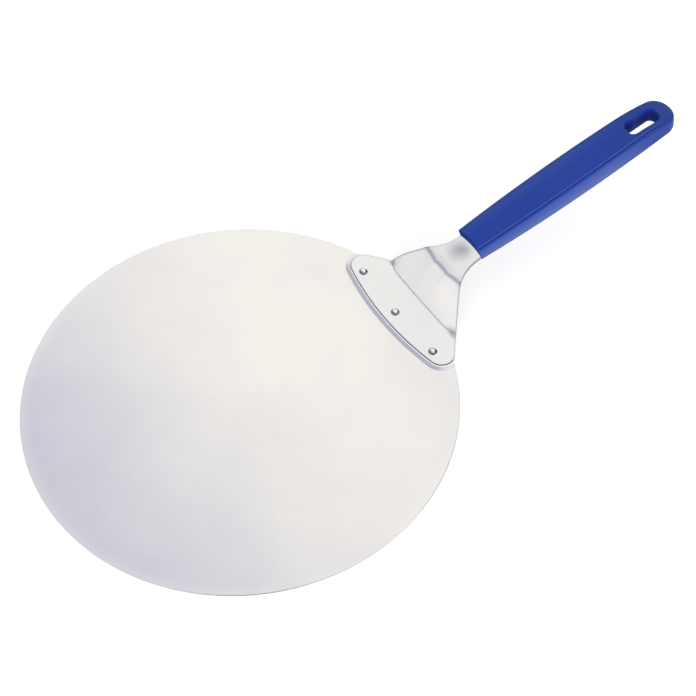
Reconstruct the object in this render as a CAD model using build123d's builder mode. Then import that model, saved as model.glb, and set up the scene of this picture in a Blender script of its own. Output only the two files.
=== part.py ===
from build123d import *
import os
from math import atan, cos, degrees, radians, sin, tan

# A round pizza peel: a flat steel blade, a pressed bracket riveted on top of it,
# whose tang runs up into a moulded handle with a hanging slot.
# Frame: X runs from the middle of the blade towards the handle, Z is up, and the
# origin is the middle of the blade's underside. Lengths are millimetres.

# Blade
blade_diameter = 305.0
blade_thickness = 1.0
blade_edge_bevel = 0.25

# Bracket, cut and pressed from one sheet
sheet = 2.0
bracket_overlap = 30.5      # how far the bracket reaches in over the blade's rim
front_bow = 10.4            # depth of the curved front edge, out to its corners
shoulder_width = 138.4      # across the corners, before they are rounded
shoulder_round = 9.7
waist_reach = 26.0          # from the blade's rim to where the sides turn into the tang
waist_width = 25.8
waist_round = 33.0
tang_tip_width = 17.0
tang_tip_round = 4.0

# Skirt round the bracket's front, sloping down to the blade and ending at its rim
skirt_width = 3.9
skirt_height = 1.5
skirt_overlap = 1.0         # how far it runs in under the bracket's edge

# Bends of the bracket, seen from the side
rim_gap = 0.6               # from the blade's rim out to the first bend
riser_height = 24.7
riser_angle = 53.2
foot_radius = 2.0           # inside the bend at the rim
crest_radius = 4.0          # inside the bend at the top of the riser
neck_length = 26.9          # from the second bend to the handle
tang_length = 95.0          # inside the handle
handle_pitch = 11.5

# Each bend runs straight across the middle and curves towards the handle at its ends
foot_straight = 48.0
foot_width = 90.0
foot_curl = 6.4
crest_straight = 8.0
crest_width = 40.0
crest_curl = 1.7

# Dimple pressed down into the neck
dimple_width = 15.0
dimple_depth = 0.4
dimple_setback = 9.3        # from the handle back to the middle of the dimple

# Holes through which the handle's moulding grips the tang
anchor_diameter = 7.0
anchor_spacing = 30.0
anchor_setback = 18.0       # from the tang's tip back to the nearest hole
anchor_count = 2

# Rivets
rivet_head_diameter = 6.4
rivet_head_height = 1.7
rivet_shank_diameter = 4.0
rivet_tail_diameter = 5.4
rivet_tail_depth = 0.7
rivet_fit = 0.05            # clearance all round a rivet in the bracket and the blade
rivet_setback = 9.0         # from the bracket's front edge to the middle rivet
outer_rivet_step = 2.0      # the outer rivets stand this much nearer the handle
rivet_pitch = 43.5

# Handle, in plan
handle_length = 181.5
handle_neck_width = 25.8
handle_grip_width = 29.8
handle_tip_width = 25.6
handle_tip_round = 12.4
handle_end_dish = 1.15      # depth of the hollow in the handle's open end
handle_end_rake = 5.5       # degrees by which that end leans out over the neck
handle_end_round = 0.5

# Handle from the side, as heights above and depths below the tang's middle plane
neck_top = 9.8
grip_top = 11.8
nose_top = 12.0
tip_top = 5.7
neck_bottom = 3.3
throat_bottom = 4.6
swell_bottom = 5.7
tip_bottom = 6.3
throat_share = 0.13         # shares of the handle's length where those heights hold
swell_share = 0.33
grip_share = 0.46
nose_share = 0.77
top_edge_round = 2.0
bottom_edge_round = 3.8

# Raised land on the handle's top
land_inset = 2.95
land_height = 0.6
land_tip_height = 0.45      # what is left of it at the tip
land_edge_bevel = 0.25

# Hanging slot
slot_length = 27.4
slot_width = 13.4
slot_corner_round = 4.5
slot_mouth_round = 1.0
slot_setback = 26.0         # from the tip back to the middle of the slot

overrun = 20.0              # spare length of every cutting shape

blade_radius = blade_diameter / 2
bracket_top = blade_thickness + sheet
front_x = blade_radius - bracket_overlap
corner_x = front_x + front_bow
waist_x = blade_radius + waist_reach
bend_x = blade_radius + rim_gap
crest_x = bend_x + riser_height / tan(radians(riser_angle))
crest_z = blade_thickness + riser_height
pitch = radians(handle_pitch)
handle_x = crest_x + neck_length * cos(pitch) - sheet / 2 * sin(pitch)
handle_z = crest_z + neck_length * sin(pitch) + sheet / 2 * cos(pitch)
tang_tip_x = handle_x + tang_length * cos(pitch)

# The handle is drawn a little too long and cut back by its hollow open end, which runs
# up and down along the cut's direction
handle_start = -2 * handle_end_dish - grip_top * tan(radians(handle_end_rake))
cut_lean = pitch + radians(handle_end_rake)
cut_direction = (-sin(cut_lean), 0, cos(cut_lean))

rivet_places = [
    (front_x + rivet_setback + outer_rivet_step, -rivet_pitch),
    (front_x + rivet_setback, 0),
    (front_x + rivet_setback + outer_rivet_step, rivet_pitch),
]

# The tang's middle plane, with its origin at the handle's open end, and the same
# origin seen from the side, with the second axis square to the tang
tang_plane = Plane(
    origin=(handle_x, 0, handle_z),
    x_dir=(cos(pitch), 0, sin(pitch)),
    z_dir=(-sin(pitch), 0, cos(pitch)),
)
side_plane = Plane(origin=tang_plane.origin, x_dir=tang_plane.x_dir, z_dir=(0, -1, 0))
tang_axis = Axis(tang_plane.origin, tang_plane.x_dir)
tang_normal = Axis(tang_plane.origin, tang_plane.z_dir)


def make_blade():
    flare = (rivet_tail_diameter - rivet_shank_diameter) / 2
    with BuildPart() as blade:
        with BuildSketch():
            Circle(blade_radius)
        extrude(amount=blade_thickness)
        chamfer(blade.edges().filter_by(GeomType.CIRCLE), blade_edge_bevel)
        with Locations([Plane((x, y, 0), z_dir=(0, 0, -1)) for x, y in rivet_places]):
            CounterSinkHole(
                radius=rivet_shank_diameter / 2 + rivet_fit,
                counter_sink_radius=rivet_tail_diameter / 2 + rivet_fit,
                depth=blade_thickness,
                counter_sink_angle=2 * degrees(atan(flare / rivet_tail_depth)),
            )
    blade.part.label = "blade"
    return blade.part


def curled(station, straight, width, curl):
    """How far a bend has moved towards the handle at one station across the bracket."""
    share = (abs(station) - straight / 2) / (width / 2 - straight / 2)
    return curl * min(max(share, 0), 1) ** 2


def strip_profile(station):
    """The bent strip from the side, at one station across the bracket."""
    foot = curled(station, foot_straight, foot_width, foot_curl)
    crest = curled(station, crest_straight, crest_width, crest_curl)
    end = neck_length + tang_length + overrun
    with BuildSketch(Plane.XZ.offset(station)) as profile:
        with BuildLine():
            underside = FilletPolyline(
                (front_x - overrun, blade_thickness),
                (bend_x + foot, blade_thickness),
                (crest_x + crest * cos(pitch), crest_z + crest * sin(pitch)),
                (crest_x + end * cos(pitch), crest_z + end * sin(pitch)),
                radius=[foot_radius + sheet, crest_radius],
            )
            offset(underside, amount=sheet, side=Side.LEFT)
        make_face()
    return profile.sketch


def bent_strip():
    """The pressed sheet before its outline is cut."""
    stations = [crest_straight, (crest_straight + crest_width) / 2, crest_width]
    stations += [foot_straight, (foot_straight + foot_width) / 2, foot_width]
    with BuildPart() as strip:
        extrude(strip_profile(-crest_straight / 2), amount=crest_straight)
        for side in (-1, 1):
            loft([strip_profile(side * station / 2) for station in stations])
            extrude(strip_profile(side * foot_width / 2), amount=side * shoulder_width)
    return strip.part


def bracket_outline():
    """Half of it runs along the front edge's corner, the side and the tang."""
    with BuildSketch() as outline:
        with BuildLine():
            ThreePointArc(
                (corner_x, -shoulder_width / 2), (front_x, 0), (corner_x, shoulder_width / 2)
            )
            side = Polyline(
                (corner_x, shoulder_width / 2),
                (waist_x, waist_width / 2),
                (tang_tip_x, tang_tip_width / 2),
                (tang_tip_x, 0),
            )
            mirror(side, about=Plane.XZ)
        make_face()
        fillet(outline.vertices().group_by(Axis.X)[-1], tang_tip_round)
        fillet(outline.vertices().group_by(Axis.X)[1], waist_round)
        fillet(outline.vertices().group_by(Axis.X)[0], shoulder_round)
    return outline.sketch


def dimple_cap(base):
    """A shallow soft-edged cap that hangs below the height base, on the neck's normal."""
    with BuildPart() as cap:
        with BuildSketch(side_plane) as half:
            with BuildLine():
                halfway = (-dimple_setback + dimple_width / 4, base - dimple_depth / 2)
                rim = (-dimple_setback + dimple_width / 2, base)
                bowl = TangentArc((-dimple_setback, base - dimple_depth), halfway, tangent=(1, 0))
                lip = TangentArc(rim, halfway, tangent=(-1, 0))
                Polyline(lip @ 0, (-dimple_setback, base), bowl @ 0)
            make_face()
        middle = side_plane.from_local_coords((-dimple_setback, 0, 0))
        revolve(axis=Axis(middle, tang_plane.z_dir))
    return cap.part


def front_skirt():
    with BuildPart() as skirt:
        with BuildSketch(Plane.XY.offset(blade_thickness)):
            add(bracket_outline())
            offset(amount=skirt_width)
        extrude(amount=skirt_height, taper=degrees(atan(skirt_width / skirt_height)))
        with BuildSketch():
            add(bracket_outline())
            offset(amount=-skirt_overlap)
        extrude(amount=bracket_top, mode=Mode.SUBTRACT)
        with BuildSketch():
            Circle(blade_radius - blade_edge_bevel)
        extrude(amount=bracket_top, mode=Mode.INTERSECT)
    return skirt.part


def make_bracket():
    with BuildPart() as bracket:
        extrude(bracket_outline(), amount=handle_z + tang_length + overrun)
        add(bent_strip(), mode=Mode.INTERSECT)
        add(front_skirt())
        with BuildSketch(Plane.XY):
            with Locations(*rivet_places):
                Circle(rivet_shank_diameter / 2 + rivet_fit)
        extrude(amount=bracket_top + overrun, mode=Mode.SUBTRACT)
        add(dimple_cap(-sheet / 2))
        add(dimple_cap(sheet / 2), mode=Mode.SUBTRACT)
        first = tang_length - anchor_setback - (anchor_count - 1) * anchor_spacing
        with BuildSketch(tang_plane):
            with Locations(*[(first + n * anchor_spacing, 0) for n in range(anchor_count)]):
                Circle(anchor_diameter / 2)
        extrude(amount=sheet, both=True, mode=Mode.SUBTRACT)
    bracket.part.label = "bracket"
    return bracket.part


def make_rivets():
    with BuildPart() as rivet:
        with BuildSketch(Plane.XZ):
            with BuildLine():
                dome = TangentArc(
                    (0, bracket_top + rivet_head_height),
                    (rivet_head_diameter / 2, bracket_top),
                    tangent=(1, 0),
                )
                Polyline(
                    dome @ 1,
                    (rivet_shank_diameter / 2, bracket_top),
                    (rivet_shank_diameter / 2, rivet_tail_depth),
                    (rivet_tail_diameter / 2, 0),
                    (0, 0),
                    dome @ 0,
                )
            make_face()
        revolve(axis=Axis.Z)
    with BuildPart() as rivets:
        with Locations(*rivet_places):
            add(rivet.part)
    rivets.part.label = "rivets"
    return rivets.part


def handle_plan(inset):
    """The handle seen square to its tang, drawn in by inset all round."""
    neck = handle_neck_width / 2 - inset
    grip = handle_grip_width / 2 - inset
    tip = handle_tip_width / 2 - inset
    grip_x = handle_length * grip_share
    tip_x = handle_length - inset
    with BuildSketch(tang_plane) as plan:
        with BuildLine():
            ThreePointArc((handle_start, neck), (grip_x, grip), (tip_x, tip))
            Line((tip_x, tip), (tip_x, -tip))
            ThreePointArc((tip_x, -tip), (grip_x, -grip), (handle_start, -neck))
            Line((handle_start, -neck), (handle_start, neck))
        make_face()
        fillet(plan.vertices().group_by(Axis.X)[-1], handle_tip_round - inset)
    return plan.sketch


def handle_side(sink, tip_sink):
    """The handle from the side, with its top lowered by sink, and by tip_sink at the tip."""
    behind = handle_length + overrun
    with BuildSketch(side_plane) as view:
        with BuildLine():
            top = ThreePointArc(
                (handle_start, neck_top - sink),
                (handle_length * grip_share, grip_top - sink),
                (handle_length * nose_share, nose_top - sink),
            )
            nose = TangentArc(top @ 1, (handle_length, tip_top - tip_sink), tangent=top % 1)
            throat = ThreePointArc(
                (handle_start, -neck_bottom),
                (handle_length * throat_share, -throat_bottom),
                (handle_length * swell_share, -swell_bottom),
            )
            belly = TangentArc(throat @ 1, (behind, -tip_bottom), tangent=throat % 1)
            Polyline(nose @ 1, (behind, tip_top - tip_sink), belly @ 1)
            Line(throat @ 0, top @ 0)
        make_face()
    return view.sketch


def long_edges(block):
    """The edges that run along the handle, from its underside to its top."""
    return block.edges().filter_by(lambda edge: edge.length > handle_grip_width).sort_by(tang_normal)


def end_dish(setback):
    """The disc that hollows the handle's open end, moved along it by setback."""
    radius = ((handle_neck_width / 2) ** 2 + handle_end_dish**2) / (2 * handle_end_dish)
    with BuildSketch(tang_plane) as disc:
        with Locations((setback - radius, 0)):
            Circle(radius)
    return disc.sketch


def make_handle(bracket):
    with BuildPart() as land:
        extrude(handle_plan(land_inset), amount=handle_length)
        extrude(handle_side(0, 0), amount=handle_length, both=True, mode=Mode.INTERSECT)
        dish = end_dish(handle_end_round)
        extrude(dish, amount=handle_length, dir=cut_direction, both=True, mode=Mode.SUBTRACT)
        chamfer(long_edges(land)[-1], land_edge_bevel)
    with BuildPart() as handle:
        extrude(handle_plan(0), amount=handle_length, both=True)
        shoulders = handle_side(land_height, land_tip_height)
        extrude(shoulders, amount=handle_length, both=True, mode=Mode.INTERSECT)
        fillet(long_edges(handle)[-1], top_edge_round)
        fillet(long_edges(handle)[0], bottom_edge_round)
        extrude(end_dish(0), amount=handle_length, dir=cut_direction, both=True, mode=Mode.SUBTRACT)
        fillet(handle.faces().sort_by(tang_axis)[0].edges(), handle_end_round)
        add(land.part)
        with BuildSketch(tang_plane):
            with Locations((handle_length - slot_setback, 0)):
                RectangleRounded(slot_length, slot_width, slot_corner_round)
        extrude(amount=handle_length, both=True, mode=Mode.SUBTRACT)
        rims = handle.edges(Select.LAST).filter_by(tang_normal, reverse=True)
        rims = rims.filter_by_position(Axis.Y, -slot_width / 2, slot_width / 2)
        fillet(rims, slot_mouth_round)
        add(bracket, mode=Mode.SUBTRACT)
    handle.part.label = "handle"
    return handle.part


blade = make_blade()
bracket = make_bracket()
os.makedirs("parts", exist_ok=True)
for part in (blade, bracket, make_rivets(), make_handle(bracket)):
    export_step(part, f"parts/{part.label}.step")
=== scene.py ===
from math import cos, radians
import bpy
from mathutils import Matrix, Vector

# A round pizza peel on a pale floor. Everything is in metres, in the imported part's frame:
# X from the middle of the blade towards the handle, Z up, the blade lying on Z = 0.
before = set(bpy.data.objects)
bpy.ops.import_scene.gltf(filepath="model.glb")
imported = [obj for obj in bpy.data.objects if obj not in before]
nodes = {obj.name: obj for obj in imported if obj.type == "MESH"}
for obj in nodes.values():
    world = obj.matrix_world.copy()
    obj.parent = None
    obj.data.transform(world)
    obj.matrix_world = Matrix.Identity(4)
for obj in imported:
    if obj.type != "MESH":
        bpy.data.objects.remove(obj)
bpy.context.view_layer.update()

# Camera, where the photograph was taken from
CAMERA_AT = Vector((-0.28909, -0.56209, 0.93350))
CAMERA_FORWARD = Vector((0.32642, 0.48394, -0.81195))
CAMERA_RIGHT = Vector((0.82904, -0.55919, 0))
CAMERA_LENS_MM = 83.59
SENSOR_MM = 36

# Studio
FLOOR_SIZE = 12
FLOOR_GREY = 0.8
FLOOR_LIFT = 0.45        # a glow that only the camera sees, which takes the floor to white
WORLD_LIGHT = (0.70, 0.70, 0.71)
WHITE = (1, 1, 1)
LAMPS = (                # place, size across and watts
    (Vector((-0.5, -1.7, 0.45)), 1.6, 24),
    (Vector((1.9, -0.3, 0.9)), 1.2, 2),
)

# What the metal mirrors: a white studio with dark soft-edged flags. Each has the direction
# of its middle, its colour, and how many degrees out it is still full and has faded away.
FLAGS = (
    (Vector((-0.50, 0.50, 0.71)), (0.46, 0.45, 0.55), 6, 33),
    (Vector((-0.25, 0.82, 0.51)), (0.28, 0.27, 0.36), 3, 16),
    (Vector((-0.44, 0.06, 0.89)), (0.14, 0.13, 0.22), 5, 18),
    (Vector((-0.20, 0.04, 0.98)), (0.52, 0.51, 0.60), 8, 22),
    (Vector((-0.40, -0.70, 0.45)), (0.10, 0.09, 0.15), 8, 26),
    (Vector((0.95, -0.15, 0.15)), (0.02, 0.01, 0.06), 20, 40),
)

# Below, a pair of limits is where a tone starts to show and where it is full. A turn is
# such a pair for a part of the surface's normal, and shares are one for its openness.
NOISE_LIMITS = (0.3, 0.7)        # most of a noise lies between these

# Sheet steel
CLOUD_SCALE = 11
CLOUD_DETAIL = 7
CLOUD_ROUGHNESS = 0.6
BRUSH_STRETCH = (4, 110, 40)
BRUSH_SCALE = 9
BRUSH_DETAIL = 4
BRUSH_DEPTH = 0.00001
BRUSH_STRENGTH = 0.1
GLOSS_DRIFT = 0.01               # how far the brushing moves the roughness up and down
CUT_EDGE_TURN = (0.5, 0.3)       # of Z, at the cut edges of a sheet

# Blade: warm near one place, drifting to cool far away as painted reflection, and paler
# towards its rim
BLADE_ROUGHNESS = 0.32
STEEL_WARM = (0.930, 0.900, 0.848)
STEEL_COOL_REFLECTION = (0.634, 0.628, 0.708)
WARM_AT = (0.068, 0.0126, 0)
DRIFT_STRETCH = (1, 0.42, 1)
DRIFT_REACH = (0.025, 0.203)
DRIFT_CURVE = 1.3
CLOUD_DRIFT = 0.14               # how far the clouds push that drift up and down
RIM_RADII = (0.1440, 0.1520)
RIM_SHARE = 0.22
RIM_TONE = (0.90, 0.90, 0.88)
# Painted shade on the blade's cut edges
BLADE_EDGE_SHADE = (0.66, 0.66, 0.67)

# Bracket
BRACKET_ROUGHNESS = 0.305
BRACKET_WARM = (0.885, 0.870, 0.835)
BRACKET_COOL = (0.845, 0.840, 0.830)
# Soft spots of painted shade at the dimple and the bends, and one of painted light on the
# riser:
# each a middle, how it is squeezed along the axes, a reach and a tone
SHADE_AND_LIGHT_SPOTS = (
    ((0.1883, 0.0024, 0.0312), (1, 1, 1), 0.0132, (0.49, 0.50, 0.55)),
    ((0.1540, -0.0392, 0.0040), (1, 0.45, 1), 0.0042, (0.33, 0.33, 0.38)),
    ((0.1550, 0.0380, 0.0042), (1, 0.5, 1), 0.0034, (0.40, 0.40, 0.45)),
    ((0.1730, 0, 0.0260), (1, 0.02, 0.02), 0.0055, (0.74, 0.74, 0.77)),
    ((0.1635, -0.0220, 0.0160), (1, 0.6, 1), 0.0240, (0.955, 0.930, 0.900)),
)
# Painted shade along the bracket's cut edges
BRACKET_EDGE_SHADE = (0.50, 0.50, 0.52)
EDGE_REACH = 0.0011              # how far in from its cut edges the bracket is painted in shade
EDGE_SHARES = (0.95, 0.6)
# Levels where its plate steps down to its skirt, each a middle and half a height; on them lie
# painted shade on the skirt, a painted highlight line and a painted shade line
SKIRT = (0.0016, 0.0006)
HIGHLIGHT_LINE_LEVEL = (0.00220, 0.00014)
STEP_SHADE_LEVEL = (0.00266, 0.00032)
# Painted shade on the skirt
SKIRT_SHADE_TONE = (0.80, 0.79, 0.84)
# A painted highlight line
HIGHLIGHT_LINE_TONE = (0.97, 0.97, 0.97)
# A painted shade line where the plate steps down
STEP_SHADE_TONE = (0.09, 0.09, 0.11)

# Rivets
CHROME = (0.92, 0.92, 0.95)
# A painted dark reflection round the foot of each dome
CHROME_RIM_REFLECTION = (0.22, 0.20, 0.28)
CHROME_RIM_TURN = (0.955, 0.80)  # of Z, round the foot of each dome
CHROME_GLOSS = (0.06, 0.12)
CHROME_SCALE = 300
CHROME_DETAIL = 2

# Handle
HANDLE_SPECULAR = 0.32
HANDLE_BLUE = (0.002, 0.038, 0.338)
HANDLE_VIOLET = (0.007, 0.044, 0.350)
HANDLE_CLOUD_SCALE = 30
HANDLE_CLOUD_DETAIL = 2
GRAIN_SCALE = 1400
GRAIN_DETAIL = 2
GRAIN_DEPTH = 0.00003
GRAIN_STRENGTH = 0.3
GRAIN_GLOSS = (0.36, 0.46)
# The far half of its top, lighter with a painted sheen
HANDLE_FAR_SHEEN = (0.024, 0.072, 0.355)
HANDLE_FAR_SHEEN_Y = (0.002, 0.015)
# Its sides, lighter as painted light, and lighter still low down as a painted floor
# reflection, by the height above the middle of its open end, square to its length
HANDLE_SIDE_LIT = (0.036, 0.084, 0.375)
HANDLE_SIDE_LIT_TURN = (0.93, 0.55)  # of Z
HANDLE_LOW_REFLECTION = (0.105, 0.165, 0.43)
HANDLE_LOW_REFLECTION_HEIGHT = (0.007, -0.006)
HANDLE_END_AT = (0.1977, 0, 0.0320)
HANDLE_UP = (-0.1994, 0, 0.9799)
# Its belly and its tip, darker as painted shade
HANDLE_BELLY_SHADE = (0.004, 0.018, 0.17)
HANDLE_BELLY_SHADE_TURN = (0, -0.4)    # of Z
HANDLE_TIP_SHADE = (0.005, 0.040, 0.29)
HANDLE_TIP_SHADE_X = (0.31, 0.35)
# The painted highlight line on the near edge of its raised land and the painted shade line at
# the land's foot, which both fade out beside the slot
HANDLE_GLINT = (0.105, 0.175, 0.52)
HANDLE_GLINT_REACH = 0.0007
HANDLE_GLINT_SHARES = (0.95, 0.75)
HANDLE_GLINT_Y = (-0.0080, -0.0095)
HANDLE_FOOT_SHADE = (0, 0.001, 0.09)
HANDLE_FOOT_SHADE_REACH = 0.0015
HANDLE_FOOT_SHADE_SHARES = (0.97, 0.80)
HANDLE_LINES_X = (0.364, 0.352)
# Its corners and slot in painted shade, and its open end in a painted shade tone, all matt
HANDLE_CREASE_SHADE = (0.001, 0.008, 0.33)
HANDLE_CREASE_REACH = 0.016
HANDLE_CREASE_SHARES = (0.85, 0.45)
HANDLE_OPENING_SHADE = (0.006, 0.034, 0.29)
HANDLE_OPENING_TURN = (-0.6, -0.85)      # of X
MATT = 1


def add_camera():
    data = bpy.data.cameras.new("camera")
    data.lens = CAMERA_LENS_MM
    data.sensor_width = SENSOR_MM
    camera = bpy.data.objects.new("camera", data)
    bpy.context.scene.collection.objects.link(camera)
    up = CAMERA_RIGHT.cross(CAMERA_FORWARD)
    turn = Matrix((CAMERA_RIGHT, up, -CAMERA_FORWARD)).transposed()
    camera.matrix_world = Matrix.Translation(CAMERA_AT) @ turn.to_4x4()
    bpy.context.scene.camera = camera


def is_socket(value):
    return isinstance(value, bpy.types.NodeSocket)


def add_node(tree, kind, values, **settings):
    """A shader node whose inputs are set, or linked where the value is a socket."""
    node = tree.nodes.new("ShaderNode" + kind)
    for name, setting in settings.items():
        setattr(node, name, setting)
    for name, value in values.items():
        if is_socket(value):
            tree.links.new(value, node.inputs[name])
        else:
            node.inputs[name].default_value = value
    return node


def mix_colours(tree, share, first, second):
    """A mix of two colours, each a triple or a socket."""
    first, second = (tone if is_socket(tone) else (*tone, 1) for tone in (first, second))
    mix = add_node(tree, "MixRGB", {"Fac": share, "Color1": first, "Color2": second})
    return mix.outputs["Color"]


def maths(tree, operation, *values, clamp=False):
    """The result of an operation on one or more values."""
    values = dict(enumerate(values))
    node = add_node(tree, "Math", values, operation=operation, use_clamp=clamp)
    return node.outputs["Value"]


def vector_maths(tree, operation, *vectors):
    """The vector that an operation on vectors comes to, or the number."""
    node = add_node(tree, "VectorMath", dict(enumerate(vectors)), operation=operation)
    is_number = operation in ("DISTANCE", "DOT_PRODUCT", "LENGTH")
    return node.outputs["Value" if is_number else "Vector"]


def component(tree, vector, axis):
    return add_node(tree, "SeparateXYZ", {0: vector}).outputs[axis]


def ramp(tree, value, limits, ends=(0, 1), smooth=False):
    """The first end where a value is at the first limit, the second end at the second."""
    values = {"Value": value, "From Min": limits[0], "From Max": limits[1]}
    values.update({"To Min": ends[0], "To Max": ends[1]})
    kind = "SMOOTHSTEP" if smooth else "LINEAR"
    return add_node(tree, "MapRange", values, interpolation_type=kind).outputs["Result"]


def object_place(tree):
    return add_node(tree, "TexCoord", {}).outputs["Object"]


def noise(tree, place, scale, detail, roughness=0.5):
    values = {"Vector": place, "Scale": scale, "Detail": detail, "Roughness": roughness}
    return add_node(tree, "TexNoise", values).outputs["Fac"]


def spread(tree, value, ends):
    """A noise stretched to run from one end to the other."""
    return ramp(tree, value, NOISE_LIMITS, ends)


def bump(tree, height, distance, strength):
    values = {"Height": height, "Distance": distance, "Strength": strength}
    return add_node(tree, "Bump", values).outputs["Normal"]


def facing(tree, axis, turn):
    """How far a surface's normal has turned along one axis, from one limit to the next."""
    normal = add_node(tree, "NewGeometry", {}).outputs["Normal"]
    return ramp(tree, component(tree, normal, axis), turn)


def crease(tree, reach, shares, inside=False):
    """1 in the corner of a crease or a pocket, 0 on open surfaces; inside, 1 along edges."""
    settings = {"only_local": True, "inside": inside}
    openness = add_node(tree, "AmbientOcclusion", {"Distance": reach}, **settings)
    return ramp(tree, openness.outputs["AO"], shares)


def at_level(tree, place, level):
    """1 within half a height of a level, 0 elsewhere."""
    return maths(tree, "COMPARE", component(tree, place, "Z"), *level)


def new_material(name, values):
    """A material with one Principled shader, and its tree, shader and output nodes."""
    material = bpy.data.materials.new(name)
    material.use_nodes = True
    tree = material.node_tree
    tree.nodes.clear()
    shader = add_node(tree, "BsdfPrincipled", values)
    output = add_node(tree, "OutputMaterial", {"Surface": shader.outputs["BSDF"]})
    return material, tree, shader, output


def add_floor():
    half = FLOOR_SIZE / 2
    mesh = bpy.data.meshes.new("floor")
    corners = [(-half, -half, 0), (half, -half, 0), (half, half, 0), (-half, half, 0)]
    mesh.from_pydata(corners, [], [(0, 1, 2, 3)])
    floor = bpy.data.objects.new("floor", mesh)
    bpy.context.scene.collection.objects.link(floor)
    grey = (FLOOR_GREY, FLOOR_GREY, FLOOR_GREY, 1)
    values = {"Base Color": grey, "Roughness": 1, "Specular IOR Level": 0}
    material, tree, shader, output = new_material("floor_white", values)
    rays = add_node(tree, "LightPath", {})
    strength = maths(tree, "MULTIPLY", rays.outputs["Is Camera Ray"], FLOOR_LIFT)
    glow = add_node(tree, "Emission", {"Strength": strength}).outputs[0]
    both = add_node(tree, "AddShader", {0: shader.outputs["BSDF"], 1: glow}).outputs[0]
    tree.links.new(both, output.inputs["Surface"])
    mesh.materials.append(material)


def flag_share(tree, direction, middle, full, faded):
    """How much of a flag stands in one direction."""
    nearness = vector_maths(tree, "DOT_PRODUCT", direction, middle.normalized())
    return ramp(tree, nearness, (cos(radians(faded)), cos(radians(full))), smooth=True)


def add_world():
    """An even light, white to the camera, and the studio with its flags to the metal."""
    world = bpy.data.worlds.new("studio")
    bpy.context.scene.world = world
    world.use_nodes = True
    tree = world.node_tree
    tree.nodes.clear()
    direction = add_node(tree, "TexCoord", {}).outputs["Generated"]
    studio = WHITE
    for middle, colour, full, faded in FLAGS:
        share = flag_share(tree, direction, middle, full, faded)
        studio = mix_colours(tree, share, studio, colour)
    rays = add_node(tree, "LightPath", {})
    seen = mix_colours(tree, rays.outputs["Is Glossy Ray"], WORLD_LIGHT, studio)
    seen = mix_colours(tree, rays.outputs["Is Camera Ray"], seen, WHITE)
    background = add_node(tree, "Background", {"Color": seen})
    add_node(tree, "OutputWorld", {"Surface": background.outputs[0]})


def add_lamp(place, size, watts):
    """A round softbox turned to the peel, which the metal doesn't mirror."""
    data = bpy.data.lights.new("softbox", "AREA")
    data.shape = "DISK"
    data.size = size
    data.energy = watts
    lamp = bpy.data.objects.new("softbox", data)
    bpy.context.scene.collection.objects.link(lamp)
    lamp.location = place
    lamp.rotation_mode = "QUATERNION"
    lamp.rotation_quaternion = (-place).to_track_quat("-Z", "Y")
    lamp.visible_glossy = False


def blade_tone(tree, place, cloud):
    """Cloudy warm white beside the bracket that drifts to a cool grey at the far rim, a
    painted reflection, with a paler rim and painted shade on the cut edges.
    """
    # Painted reflection: the tone drifts from warm to a cool grey away from the warm place
    squeezed = vector_maths(tree, "MULTIPLY", place, DRIFT_STRETCH)
    away = vector_maths(tree, "DISTANCE", squeezed, WARM_AT)
    drift = maths(tree, "POWER", ramp(tree, away, DRIFT_REACH), DRIFT_CURVE)
    push = ramp(tree, cloud, (0, 1), (-CLOUD_DRIFT, CLOUD_DRIFT))
    share = maths(tree, "ADD", drift, push, clamp=True)
    tone = mix_colours(tree, share, STEEL_WARM, STEEL_COOL_REFLECTION)
    radius = vector_maths(tree, "LENGTH", place)
    rim_paling = ramp(tree, radius, RIM_RADII, (0, RIM_SHARE), smooth=True)
    tone = mix_colours(tree, rim_paling, tone, RIM_TONE)
    # Painted shade on the cut edges
    return mix_colours(tree, facing(tree, "Z", CUT_EDGE_TURN), tone, BLADE_EDGE_SHADE)


def bracket_tone(tree, place, cloud):
    """Pale clouds, painted shade at the dimple and bends with a painted pool of light on the
    riser, painted shade along the cut edges, and painted shade with a painted highlight line
    where the plate steps down.
    """
    tone = mix_colours(tree, cloud, BRACKET_WARM, BRACKET_COOL)
    # Painted shade and light in soft spots
    for middle, squeeze, reach, colour in SHADE_AND_LIGHT_SPOTS:
        offset = vector_maths(tree, "SUBTRACT", place, middle)
        away = vector_maths(tree, "LENGTH", vector_maths(tree, "MULTIPLY", offset, squeeze))
        spot = ramp(tree, away, (reach, 0), smooth=True)
        tone = mix_colours(tree, spot, tone, colour)
    # Painted shade along the cut edges
    rim = crease(tree, EDGE_REACH, EDGE_SHARES, inside=True)
    tone = mix_colours(tree, rim, tone, BRACKET_EDGE_SHADE)
    tone = mix_colours(tree, facing(tree, "Z", CUT_EDGE_TURN), tone, BRACKET_EDGE_SHADE)
    # Painted shade on the skirt, a painted highlight line and a painted shade line at the
    # step
    for level, colour in ((SKIRT, SKIRT_SHADE_TONE), (HIGHLIGHT_LINE_LEVEL, HIGHLIGHT_LINE_TONE), (STEP_SHADE_LEVEL, STEP_SHADE_TONE)):
        tone = mix_colours(tree, at_level(tree, place, level), tone, colour)
    return tone


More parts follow.
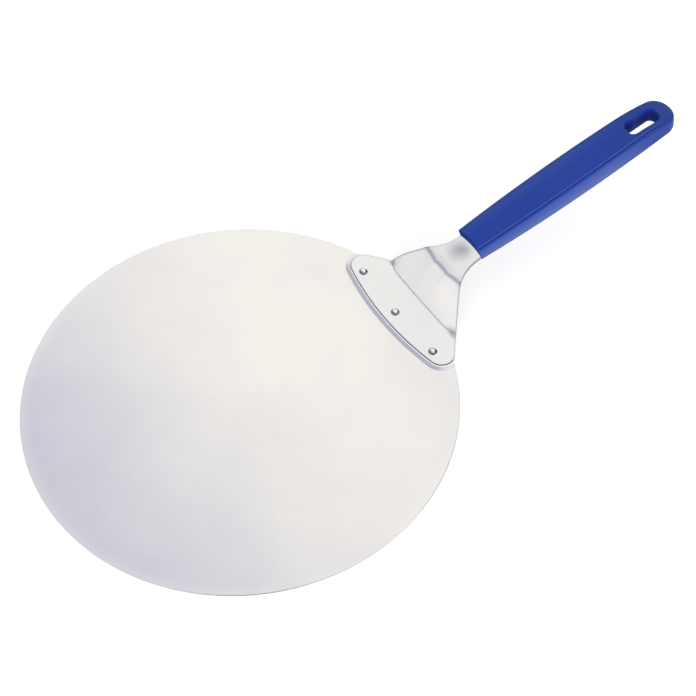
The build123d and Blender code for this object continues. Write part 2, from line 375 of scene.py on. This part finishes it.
def satin_steel(name, roughness, tone, highlight_level=None):
    """Pale sheet steel: cloudy tone, fine straight brushing, uneven gloss. A level can be
    given where a painted highlight line is laid, matt and white."""
    material, tree, shader, output = new_material(name, {"Metallic": 1})
    place = object_place(tree)
    cloud = noise(tree, place, CLOUD_SCALE, CLOUD_DETAIL, CLOUD_ROUGHNESS)
    colour = tone(tree, place, spread(tree, cloud, (0, 1)))
    stretched = vector_maths(tree, "MULTIPLY", place, BRUSH_STRETCH)
    brushing = noise(tree, stretched, BRUSH_SCALE, BRUSH_DETAIL)
    gloss = spread(tree, brushing, (roughness - GLOSS_DRIFT, roughness + GLOSS_DRIFT))
    tree.links.new(colour, shader.inputs["Base Color"])
    tree.links.new(gloss, shader.inputs["Roughness"])
    tree.links.new(bump(tree, brushing, BRUSH_DEPTH, BRUSH_STRENGTH), shader.inputs["Normal"])
    # A painted highlight line, matt and white, at the given level
    if highlight_level:
        metallic_share = maths(tree, "SUBTRACT", 1, at_level(tree, place, highlight_level))
        tree.links.new(metallic_share, shader.inputs["Metallic"])
    return material


def polished_steel():
    """Bright metal with a painted dark reflection round the foot of each dome."""
    material, tree, shader, output = new_material("polished_steel", {"Metallic": 1})
    colour = mix_colours(tree, facing(tree, "Z", CHROME_RIM_TURN), CHROME, CHROME_RIM_REFLECTION)
    cloud = noise(tree, object_place(tree), CHROME_SCALE, CHROME_DETAIL)
    tree.links.new(colour, shader.inputs["Base Color"])
    tree.links.new(spread(tree, cloud, CHROME_GLOSS), shader.inputs["Roughness"])
    return material


def handle_body_tone(tree, place):
    """Deep blue clouds on top, a painted sheen on the far half, painted light on the sides,
    lighter still low down as painted floor reflection, and painted shade on the belly and
    tip.
    """
    cloud = noise(tree, place, HANDLE_CLOUD_SCALE, HANDLE_CLOUD_DETAIL)
    tone = mix_colours(tree, spread(tree, cloud, (0, 1)), HANDLE_BLUE, HANDLE_VIOLET)
    # Painted sheen on the far half of the top
    far = ramp(tree, component(tree, place, "Y"), HANDLE_FAR_SHEEN_Y)
    tone = mix_colours(tree, far, tone, HANDLE_FAR_SHEEN)
    # Painted light on the sides, lighter still low down as a painted floor reflection
    offset = vector_maths(tree, "SUBTRACT", place, HANDLE_END_AT)
    height = vector_maths(tree, "DOT_PRODUCT", offset, HANDLE_UP)
    side = mix_colours(tree, ramp(tree, height, HANDLE_LOW_REFLECTION_HEIGHT), HANDLE_SIDE_LIT, HANDLE_LOW_REFLECTION)
    tone = mix_colours(tree, facing(tree, "Z", HANDLE_SIDE_LIT_TURN), tone, side)
    # Painted shade on the belly and towards the tip
    tone = mix_colours(tree, facing(tree, "Z", HANDLE_BELLY_SHADE_TURN), tone, HANDLE_BELLY_SHADE)
    tip = ramp(tree, component(tree, place, "X"), HANDLE_TIP_SHADE_X)
    return mix_colours(tree, tip, tone, HANDLE_TIP_SHADE)


def add_land_glint_and_shade(tree, place, tone):
    """The tone with the painted highlight line and the painted shade line along the raised
    land.
    """
    shown = ramp(tree, component(tree, place, "X"), HANDLE_LINES_X)
    near = ramp(tree, component(tree, place, "Y"), HANDLE_GLINT_Y)
    # Painted highlight along the near edge of the land
    glint = crease(tree, HANDLE_GLINT_REACH, HANDLE_GLINT_SHARES, inside=True)
    glint = maths(tree, "MULTIPLY", maths(tree, "MULTIPLY", glint, near), shown)
    tone = mix_colours(tree, glint, tone, HANDLE_GLINT)
    # Painted shade line at the land's foot
    line = crease(tree, HANDLE_FOOT_SHADE_REACH, HANDLE_FOOT_SHADE_SHARES)
    return mix_colours(tree, maths(tree, "MULTIPLY", line, shown), tone, HANDLE_FOOT_SHADE)


def blue_plastic():
    """Deep blue moulding with a soft sheen, a very fine grain, and painted light and shade.
    """
    values = {"Specular IOR Level": HANDLE_SPECULAR}
    material, tree, shader, output = new_material("blue_plastic", values)
    place = object_place(tree)
    colour = add_land_glint_and_shade(tree, place, handle_body_tone(tree, place))
    # Painted shade in the corners and slot, and on the open end
    corner = crease(tree, HANDLE_CREASE_REACH, HANDLE_CREASE_SHARES)
    colour = mix_colours(tree, corner, colour, HANDLE_CREASE_SHADE)
    opening = facing(tree, "X", HANDLE_OPENING_TURN)
    colour = mix_colours(tree, opening, colour, HANDLE_OPENING_SHADE)
    grain = noise(tree, place, GRAIN_SCALE, GRAIN_DETAIL)
    shaded = maths(tree, "MAXIMUM", corner, opening)
    gloss = ramp(tree, shaded, (0, 1), (spread(tree, grain, GRAIN_GLOSS), MATT))
    tree.links.new(colour, shader.inputs["Base Color"])
    tree.links.new(gloss, shader.inputs["Roughness"])
    tree.links.new(bump(tree, grain, GRAIN_DEPTH, GRAIN_STRENGTH), shader.inputs["Normal"])
    return material


def dress(node, material):
    mesh = nodes[node].data
    mesh.materials.clear()
    mesh.materials.append(material)


add_camera()
add_floor()
add_world()
for place, size, watts in LAMPS:
    add_lamp(place, size, watts)

dress("blade", satin_steel("blade_steel", BLADE_ROUGHNESS, blade_tone))
dress("bracket", satin_steel("bracket_steel", BRACKET_ROUGHNESS, bracket_tone, HIGHLIGHT_LINE_LEVEL))
dress("rivets", polished_steel())
dress("handle", blue_plastic())

nodes["handle"].visible_glossy = False
bpy.context.scene.view_settings.view_transform = "Standard"
